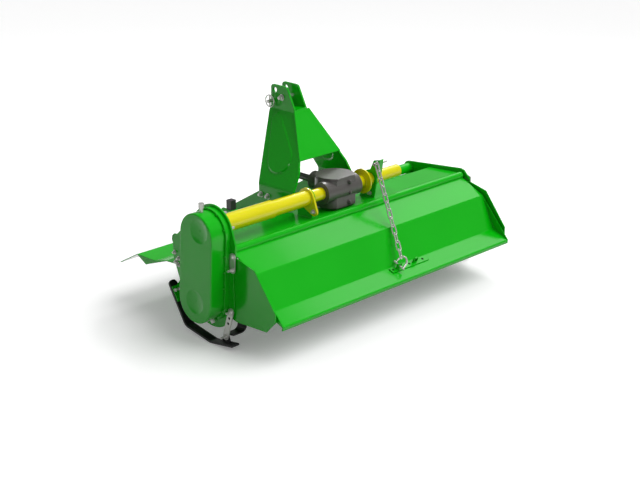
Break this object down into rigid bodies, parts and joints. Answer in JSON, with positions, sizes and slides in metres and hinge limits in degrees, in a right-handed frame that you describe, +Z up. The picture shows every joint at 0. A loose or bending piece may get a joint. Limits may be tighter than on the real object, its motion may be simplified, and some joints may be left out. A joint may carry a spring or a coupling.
{
  "type": "rotary tiller",
  "caption": "Rotary tiller for a tractor's three-point hitch: side gear case, bladed rotor under a deck, hinged rear flap on a chain, skids and parking stand.",
  "frame": {"origin": "on the floor under the middle of the machine's outline", "axes": "+X to the right as the driver sees it, along the rotor; +Y forward, towards the tractor; +Z up"},
  "size_m": [1.789, 1.138, 1.019],
  "materials": {
    "green_paint": "gloss",
    "yellow_paint": "gloss",
    "grey_casting": "satin",
    "black_paint": "satin",
    "stand_paint": "satin",
    "zinc": "satin"
  },
  "bodies": {
    "frame": {"chain": "zinc", "chain_bracket": "green_paint", "chain_hook_pin": "zinc", "deck": "green_paint", "drain_plug": "zinc", "drive_case_cover": "green_paint", "drive_case_flange": "green_paint", "drive_tube": "yellow_paint", "drive_tube_flange": "yellow_paint", "end_plate_left": "green_paint", "end_plate_right": "green_paint", "front_guard": "green_paint", "front_tube": "green_paint", "gearbox_cover": "grey_casting", "gearbox_housing": "grey_casting", "hinge_rod": "green_paint", "hitch_bracket_left": "green_paint", "hitch_bracket_right": "green_paint", "hitch_pin_left": "zinc", "hitch_pin_right": "zinc", "mast_back_plate": "green_paint", "mast_plate_left": "green_paint", "mast_plate_right": "green_paint", "mast_spacer": "zinc", "oil_plug": "zinc", "rotor_bearing": "green_paint", "skid_left": "black_paint", "skid_right": "black_paint", "skid_strap_left": "zinc", "skid_strap_right": "zinc", "stand_sleeve": "green_paint", "support_tube": "yellow_paint", "support_tube_flange": "yellow_paint", "tube_bracket": "green_paint", "wing_plate_left": "green_paint", "wing_plate_right": "green_paint", "wing_strap_left": "zinc", "wing_strap_right": "zinc"},
    "flap": {"flap": "green_paint", "flap_chain_bar": "green_paint", "shackle": "zinc"},
    "rotor": {"rotor": "black_paint"},
    "stand": {"stand_leg": "stand_paint"},
    "input": {"input_shaft": "zinc"}
  },
  "joints": [
    {"name": "rotor_spin", "type": "hinge", "parent": "frame", "child": "rotor", "pos_m": [0.037, -0.124, 0.222], "axis": [-1, 0, 0], "continuous": true},
    {"name": "input_spin", "type": "hinge", "parent": "frame", "child": "input", "pos_m": [0.012, -0.026, 0.57], "axis": [0, 1, 0], "continuous": true},
    {"name": "flap_hinge", "type": "hinge", "parent": "frame", "child": "flap", "pos_m": [0.037, -0.238, 0.467], "axis": [-1, 0, 0], "range_deg": [0, 70], "deforming": ["chain"]},
    {"name": "stand_slide", "type": "slide", "parent": "frame", "child": "stand", "axis": [0, 0, 1], "range_m": [0, 0.25]}
  ],
  "couplings": [
    {"joint": "input_spin", "follows": "rotor_spin", "ratio": 2.45}
  ]
}
